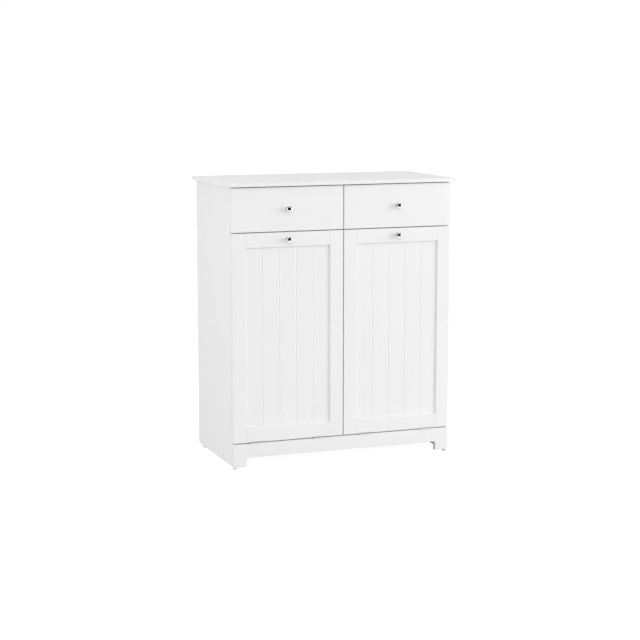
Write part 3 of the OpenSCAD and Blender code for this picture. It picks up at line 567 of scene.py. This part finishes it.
def onBothSides(shape):
    bmesh.ops.mirror(shape, geom=shape.verts[:] + shape.edges[:] + shape.faces[:], merge_dist=1e-7,
                     axis="X")
    bmesh.ops.recalc_face_normals(shape, faces=shape.faces)
    return shape


def hingePins():
    shape = bmesh.new()
    for x, y in fittings["leafScrewsAt"]:
        setIn(shape, makeScrew("leaf", "flushHead"), spot(x, y, fittings["apronTop"]))
    for end in fittings["hingeEnds"]:
        setIn(shape, turned(pins["hinge"], 24), spot(end, 0, fittings["hingeAxis"]), (1, 0, 0))
    return shape


def runnerScrews():
    shape = bmesh.new()
    for x, y, z in fittings["runnerScrews"]:
        outward = 1 if x < fittings["middle"] else -1
        setIn(shape, makeScrew("runner", "flushHead"), spot(x, y, z), (outward, 0, 0))
    return shape


def backPins():
    shape = bmesh.new()
    for x, z in fittings["backPins"]:
        setIn(shape, turned(pins["back"], 16), spot(x, fittings["backFace"], z), (0, 1, 0))
    return shape


for node, build, material in (("hinge_pins", hingePins, nickel), ("runner_screws", runnerScrews, zinc),
                              ("back_pins", backPins, zinc)):
    newPiece("turned_" + node, onBothSides(build()), material, [node])
print("screws and brackets set")


# Catches and glides

catch = {                     # in mm
    "size": (40.0, 14.0, 12.0),
    "middle": (185.75, 26.2, 736.5),
    "ease": 0.9,
    "rim": 1.8,               # width of the frame round the magnet, and its depth
    "sunk": 0.6,
    "pole": (34.0, 1.0, 1.2),           # width, height and how far the pole plates stand up
    "polesApart": 4.6,
}


def catchHousing():
    shape = bmesh.new()
    bmesh.ops.create_cube(shape, size=1)
    bmesh.ops.scale(shape, verts=shape.verts, vec=[c * mm for c in catch["size"]])
    bmesh.ops.bevel(shape, geom=shape.edges[:], offset=catch["ease"] * mm, affect="EDGES", segments=3,
                    profile=0.5, material=-1)
    face = min(shape.faces, key=lambda each: (round(each.calc_center_median().y, 5), -each.calc_area()))
    bmesh.ops.inset_region(shape, faces=[face], thickness=catch["rim"] * mm, depth=0)
    bmesh.ops.inset_region(shape, faces=[face], thickness=0.01 * mm, depth=-catch["sunk"] * mm)
    bmesh.ops.translate(shape, verts=shape.verts, vec=spot(*catch["middle"]))
    return shape


def catchPoles():
    shape = bmesh.new()
    wide, tall, stand = catch["pole"]
    x, y, z = catch["middle"]
    for up in (-1, 1):
        middle = spot(x, y - catch["size"][1] / 2 + catch["sunk"], z + up * catch["polesApart"] / 2)
        setIn(shape, flatPlate(wide, tall, stand, 0.3), middle, (0, -1, 0))
    return shape


for name, build, material, nodes, slotName in (
        ("catchHousings", catchHousing, plastic, ["magnet_catches"], "plastic"),
        ("catchPoles", catchPoles, zinc, [], "zinc")):
    newPiece(name, onBothSides(build()), material, nodes, body="cabinet")

glide = {                     # radius and height in mm, from the floor up
    "profile": [(0, 0), (4.6, 0), (6.0, 0.35), (6.7, 1.1), (7.0, 2.2), (7.0, 6.6), (6.7, 7.3), (6.2, 7.6),
                (6.2, 8.0), (1.5, 8.0), (1.5, 18.5), (0, 20)],
    "radius": 7.0,
}
low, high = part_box("foot_glides")
radius = glide["radius"] * mm
shape = bmesh.new()
for x in (low.x + radius, high.x - radius):
    for y in (low.y + radius, high.y - radius):
        setIn(shape, turned(glide["profile"], 40), (x, y, 0))
newPiece("turned_foot_glides", shape, plastic, ["foot_glides"])
print("catches and glides set")


# Bags: one cloth from the sleeves on the rods down round the bottom

bag = {                       # in mm, for the right-hand bay
    "middle": (181.25, 135.0),          # of the plan, right of the middle and behind the fronts
    "halfWide": 148.4,
    "halfDeep": 105.1,
    "corner": 26.0,
    "lowEdge": 38.0,
    "floor": 121.0,
    "wallTop": 584.5,
    "rodHeight": 588.5,
    "rodDeep": 97.0,          # each rod's distance from the middle of the plan
    "sleeveHalf": 136.5,
    "sideRow": 6.5,           # how much lower the edges are beside the sleeves
    "dip": 17.0,              # how far the side edges hang down between the rods
    "slack": 8.0,             # how far the side walls fall inwards at the mouth
    "folds": 11.0,            # how deep they fall inwards
    "foldCap": 0.28,          # how far they stand out, as a share of that
    "foldSize": (46.0, 260.0),          # across and down
    "creaseSize": (19.0, 90.0),
    "creases": 0.4,           # their depth, as a share of the folds
    "pucker": 0.8,            # of the sleeves
    "belly": 2.2,
    "droop": 5.0,             # of the bottom's middle
    "cloth": 1.2,
    "hem": 22.0,
    "seam": 23.0,             # height of the sleeve's stitches below the wall's top
    "stitch": 2.8,
    "stitchStep": 4.4,
    "columns": 144,
    "rowStep": 9.0,
}
sleeve = [(8.2, -4), (8.05, -2)]        # outwards and up from the rod's axis
sleeve += [(0.3 + 7.4 * math.cos(math.radians(a)), 7.3 * math.sin(math.radians(a)) - 0.6)
           for a in range(5, 181, 11)]
sleeve += [(-6.9, -4), (-6.1, -8), (-4.3, -12.5), (-1.4, -17), (2.2, -21), (5.0, -24), (6.5, -27), (6.8, -31),
           (6.9, -36), (6.9, -41)]
sleeveRun = [0.0]
for (a, b), (c, d) in zip(sleeve, sleeve[1:]):
    sleeveRun.append(sleeveRun[-1] + math.hypot(c - a, d - b))
wallHeight = bag["wallTop"] - bag["floor"] - bag["lowEdge"]
lowRun = math.pi / 2 * bag["lowEdge"]
quarter = math.pi / 2 * bag["corner"]
flatWide, flatDeep = (bag[key] - bag["corner"] for key in ("halfWide", "halfDeep"))
plan = [(flatWide, 0), (quarter, 1), (2 * flatDeep, 0), (quarter, 1), (2 * flatWide, 0), (quarter, 1),
        (2 * flatDeep, 0), (quarter, 1), (flatWide, 0)]
perimeter = sum(length for length, turns in plan)


def ramp(value, low, high):
    share = min(max((value - low) / (high - low), 0), 1)
    return share * share * (3 - 2 * share)


def around(distance):         # a point of the plan, from the front's middle, and the way out of the bag
    distance %= perimeter
    x, y, heading = 0.0, -bag["halfDeep"], 0.0
    for length, turns in plan:
        step = min(distance, length)
        distance -= step
        if turns:
            swing = step / bag["corner"]
            x += bag["corner"] * (math.sin(heading + swing) - math.sin(heading))
            y += bag["corner"] * (math.cos(heading) - math.cos(heading + swing))
            heading += swing
        else:
            x += step * math.cos(heading)
            y += step * math.sin(heading)
        if distance <= 0:
            break
    return x, y, math.sin(heading), -math.cos(heading)


def sleeveAt(run):
    for k, (a, b) in enumerate(zip(sleeveRun, sleeveRun[1:])):
        if run <= b or k == len(sleeveRun) - 2:
            share = (run - a) / (b - a)
            return [p + (q - p) * share for p, q in zip(sleeve[k], sleeve[k + 1])]


def foldAt(x, y, z, seed):
    wide, tall = bag["foldSize"]
    fold = noise.noise(Vector((x / wide, y / wide, z / tall + seed)))
    wide, tall = bag["creaseSize"]
    fold += bag["creases"] * noise.noise(Vector((x / wide, y / wide, z / tall)))
    cap = bag["foldCap"]
    return min(fold, 0) + cap * math.tanh(max(fold, 0) / cap)


def clothAt(u, v, seed):      # u mm round the bag, v mm down from the wall's top; sleeves are below 0
    x, y, outX, outY = around(u)
    facing = abs(outY)        # 1 on the front and back walls, 0 on the sides
    if v < 0:
        away, up = sleeveAt(-v)
        pucker = bag["pucker"] * noise.noise(Vector((x / 17, up / 30, seed)))
        deep = bag["rodDeep"] + away + pucker * ramp(-up, -4, 6)
        return Vector((x, math.copysign(deep, outY), bag["rodHeight"] + up))
    z = bag["wallTop"] - min(v, wallHeight)
    shrink = 0.0
    if v > wallHeight:
        turn = min((v - wallHeight) / bag["lowEdge"], math.pi / 2)
        z -= bag["lowEdge"] * math.sin(turn)
        shrink = bag["lowEdge"] * (1 - math.cos(turn)) + max(v - wallHeight - lowRun, 0)
    down = min(v / wallHeight, 1)
    fold = foldAt(x, y, z, seed)
    swell = bag["folds"] * fold * (0.25 + 0.75 * ramp(down, 0, 0.5))
    swell += bag["belly"] * math.sin(math.pi * down) * ramp(down, 0.1, 0.6)
    across = 1 - (y / bag["halfDeep"]) ** 2
    swell -= bag["slack"] * (1 - facing) * across * (1 - ramp(down, 0, 0.55))
    swell *= 1 - ramp(shrink, 0, bag["lowEdge"])
    z -= bag["dip"] * (1 - facing) * across * (1 - ramp(v, 0, 210))
    if shrink:
        z -= bag["droop"] * ramp(shrink, 10, bag["halfDeep"]) + 1.4 * fold * ramp(shrink, 5, 40)
    flat = facing * (1 - ramp(v, 0, 46)) if abs(x) <= bag["sleeveHalf"] + 4 else 0
    y += (math.copysign(bag["halfDeep"], outY) - y) * flat
    x = x * (bag["halfWide"] - shrink) / bag["halfWide"] + swell * outX
    y = y * (bag["halfDeep"] - shrink) / bag["halfDeep"] + swell * outY * (1 - 0.8 * flat)
    return Vector((x, y, z))


def clothOut(u, v, seed):
    here = clothAt(u, v, seed)
    return ((clothAt(u + 1, v, seed) - here).cross(clothAt(u, v + 1, seed) - here)).normalized() * -1


def sewLine(shape, us, v, lift, seed):
    thread = turned([(0, -0.5), (0.26, -0.32), (0.26, 0.32), (0, 0.5)], 6)
    bmesh.ops.scale(thread, verts=thread.verts, vec=(1, 1, bag["stitch"]))
    for u in us:
        place = clothAt(u, v, seed) + clothOut(u, v, seed) * lift
        along = clothAt(u + 1, v, seed) - clothAt(u - 1, v, seed)
        setIn(shape, thread, place * mm, along)


def inSleeve(u):
    x, y, outX, outY = around(u)
    return abs(outY) > 0.3 and abs(x) <= bag["sleeveHalf"] + 0.5


def makeBag(side):
    seed = {"left": 3.7, "right": 11.2}[side]
    below = bag["sideRow"] + bag["rowStep"]
    rows = [-run for run in reversed(sleeveRun[1:])] + [0, bag["sideRow"]]
    while below < wallHeight:
        rows.append(below)
        below += bag["rowStep"]
    rows += [wallHeight + lowRun * k / 8 for k in range(9)]
    rows += [wallHeight + lowRun + (bag["halfDeep"] - bag["lowEdge"]) * k / 9 for k in range(1, 10)]
    columns = bag["columns"]
    shape = bmesh.new()
    bmesh.ops.create_grid(shape, x_segments=columns, y_segments=len(rows) - 1, size=1)
    threads = shape.loops.layers.uv.new("threads")
    cell = {vert: (round((vert.co.x + 1) / 2 * columns), round((1 - vert.co.y) / 2 * (len(rows) - 1)))
            for vert in shape.verts}
    sideRow = len(sleeveRun)            # the row at the top of the side walls
    rowOf = shape.faces.layers.int.new("row")
    placeOf = shape.faces.layers.float.new("place")
    for face in shape.faces:
        face[rowOf] = min(cell[vert][1] for vert in face.verts)
        face[placeOf] = sum(cell[vert][0] for vert in face.verts) / 4 * perimeter / columns
        for loop in face.loops:
            column, row = cell[loop.vert]
            loop[threads].uv = (column * perimeter / columns * mm, rows[row] * mm)
    for vert, (column, row) in cell.items():
        vert.co = clothAt(column * perimeter / columns, rows[row], seed) * mm
    spare = [face for face in shape.faces if face[rowOf] < sideRow and not inSleeve(face[placeOf])]
    bmesh.ops.delete(shape, geom=spare, context="FACES")
    bmesh.ops.remove_doubles(shape, verts=shape.verts, dist=2e-6)
    bmesh.ops.recalc_face_normals(shape, faces=shape.faces)
    for face in shape.faces:
        if abs(face.normal.z) > 0.8 and face.calc_center_median().z < (bag["floor"] + 12) * mm:
            for loop in face.loops:
                loop[threads].uv = loop.vert.co.xy
    hem = [face for face in shape.faces
           if sideRow <= face[rowOf] < sideRow + 3 and not inSleeve(face[placeOf])]
    hem = bmesh.ops.duplicate(shape, geom=hem)["geom"]
    for vert in (part for part in hem if isinstance(part, bmesh.types.BMVert)):
        vert.co -= vert.normal * (bag["cloth"] + 0.15) * mm
    middle = spot(*bag["middle"], 0)
    bmesh.ops.translate(shape, verts=shape.verts, vec=middle)
    piece = newPiece(side + "_sewn_bag", mirrored(shape, side), cottonCloth, [side + "_bag"],
                     sharpFrom=180)
    wall = piece.modifiers.new("cloth", "SOLIDIFY")
    wall.thickness = bag["cloth"] * mm
    wall.offset = 0
    stitches = bmesh.new()
    steps = [k * bag["stitchStep"] for k in range(int(perimeter / bag["stitchStep"]))]
    alongSleeves = [u for u in steps if inSleeve(u)]
    alongSides = [u for u in steps if not inSleeve(u)]
    insideSeam = -sleeveRun[-4]
    sewLine(stitches, alongSleeves, bag["seam"], 0.75, seed)
    sewLine(stitches, alongSleeves, insideSeam, 0.75, seed)
    sewLine(stitches, alongSides, bag["sideRow"] + bag["hem"] - 3, 0.75, seed)
    bmesh.ops.translate(stitches, verts=stitches.verts, vec=middle)
    newPiece(side + "_bag_stitches", mirrored(stitches, side), cottonThread, [], body=side + "_bin")


for side in ("left", "right"):
    makeBag(side)
print("bags sewn")


# Floor, light and camera

studio = {
    "worldLight": 0.686,
    "floorShade": 0.52,
    "floorGlow": 0.90,        # added for the camera and for reflections only
    "floorHalf": 30,
    "aim": (0, faceY, 0.5),
    "keyAt": (3.7, -2.8, 1.3),
    "keyPower": 88.0,
    "keySize": 3.2,
    "sideAt": (-2.2, -0.25, 1.25),
    "sidePower": 10.2,
    "sideSize": 0.8,
    "frontAt": (-0.7, -4.1, 2.3),
    "frontPower": 43.4,
    "frontSize": 3.2,
    "roomRadius": 1.8,
    "roomHeight": 5.0,
    "roomFrom": 10,           # degrees round from the left, and how far it runs
    "roomSpan": 120,
    "roomShade": (0.03, 0.03, 0.032, 1),
}


def backgroundRays(tree):
    path = addNode(tree, "LightPath")
    rays = maths(tree, "MAXIMUM", path.outputs["Is Camera Ray"], path.outputs["Is Glossy Ray"])
    return maths(tree, "MAXIMUM", rays, path.outputs["Is Transmission Ray"])


def lightWorld():
    world = bpy.data.worlds.new("studioWorld")
    scene.world = world
    world.use_nodes = True
    tree = world.node_tree
    background = tree.nodes["Background"]
    background.inputs["Color"].default_value = (1, 1, 1, 1)
    strength = spread(tree, backgroundRays(tree), studio["worldLight"], 1.0, 0, 1)
    tree.links.new(strength, background.inputs["Strength"])


def layFloor():
    shape = bmesh.new()
    bmesh.ops.create_grid(shape, x_segments=1, y_segments=1, size=studio["floorHalf"])
    mesh = bpy.data.meshes.new("floor")
    shape.to_mesh(mesh)
    shape.free()
    floor = bpy.data.objects.new("floor", mesh)
    scene.collection.objects.link(floor)
    material, tree, shader = startMaterial("paleFloor", Roughness=0.9)
    shade = studio["floorShade"]
    shader.inputs["Base Color"].default_value = (shade, shade, shade, 1)
    shader.inputs["Specular IOR Level"].default_value = 0.0
    shader.inputs["Emission Color"].default_value = (1, 1, 1, 1)
    glow = maths(tree, "MULTIPLY", backgroundRays(tree), studio["floorGlow"])
    tree.links.new(glow, shader.inputs["Emission Strength"])
    dress(floor, material)


def raiseRoom():       # the dark side of the room, which only reflections see
    radius = studio["roomRadius"]
    shape = bmesh.new()
    foot = shape.verts.new((-radius, 0, 0.0))
    head = shape.verts.new((-radius, 0, studio["roomHeight"]))
    edge = shape.edges.new((foot, head))
    start = Matrix.Rotation(math.radians(studio["roomFrom"]), 3, "Z")
    bmesh.ops.rotate(shape, verts=shape.verts, cent=(0, 0, 0), matrix=start)
    bmesh.ops.spin(shape, geom=[foot, head, edge], cent=(0, 0, 0), axis=(0, 0, 1), dvec=(0, 0, 0),
                   angle=math.radians(studio["roomSpan"]), steps=40)
    mesh = bpy.data.meshes.new("roomWall")
    shape.to_mesh(mesh)
    shape.free()
    wall = bpy.data.objects.new("roomWall", mesh)
    scene.collection.objects.link(wall)
    material, tree, shader = startMaterial("darkRoom", Roughness=1.0)
    shader.inputs["Base Color"].default_value = studio["roomShade"]
    shader.inputs["Specular IOR Level"].default_value = 0.0
    dress(wall, material)
    wall.visible_camera = wall.visible_diffuse = False
    wall.visible_shadow = wall.visible_transmission = False


def hangLamp(name):
    lamp = bpy.data.lights.new(name + "Lamp", "AREA")
    lamp.shape = "DISK"
    lamp.size = studio[name + "Size"]
    lamp.energy = studio[name + "Power"]
    thing = bpy.data.objects.new(name + "Lamp", lamp)
    scene.collection.objects.link(thing)
    thing.location = studio[name + "At"]
    towards = Vector(studio["aim"]) - thing.location
    thing.rotation_euler = towards.to_track_quat("-Z", "Y").to_euler()
    thing.visible_camera = False


lightWorld()
layFloor()
raiseRoom()
for name in ("key", "side", "front"):
    hangLamp(name)

view = {
    "place": (-1.8939, -4.9807, 1.2586),
    "turn": 20.698,           # degrees, towards the right
    "down": 8.804,
    "lens": 92.26,
}
lookOut = bpy.data.cameras.new("camera")
lookOut.lens = view["lens"]
lookOut.sensor_width = 36
lookOut.clip_end = 100
camera = bpy.data.objects.new("camera", lookOut)
scene.collection.objects.link(camera)
camera.location = view["place"]
camera.rotation_euler = (math.radians(90 - view["down"]), 0, -math.radians(view["turn"]))
scene.camera = camera
scene.view_settings.view_transform = "Standard"
print("studio ready")
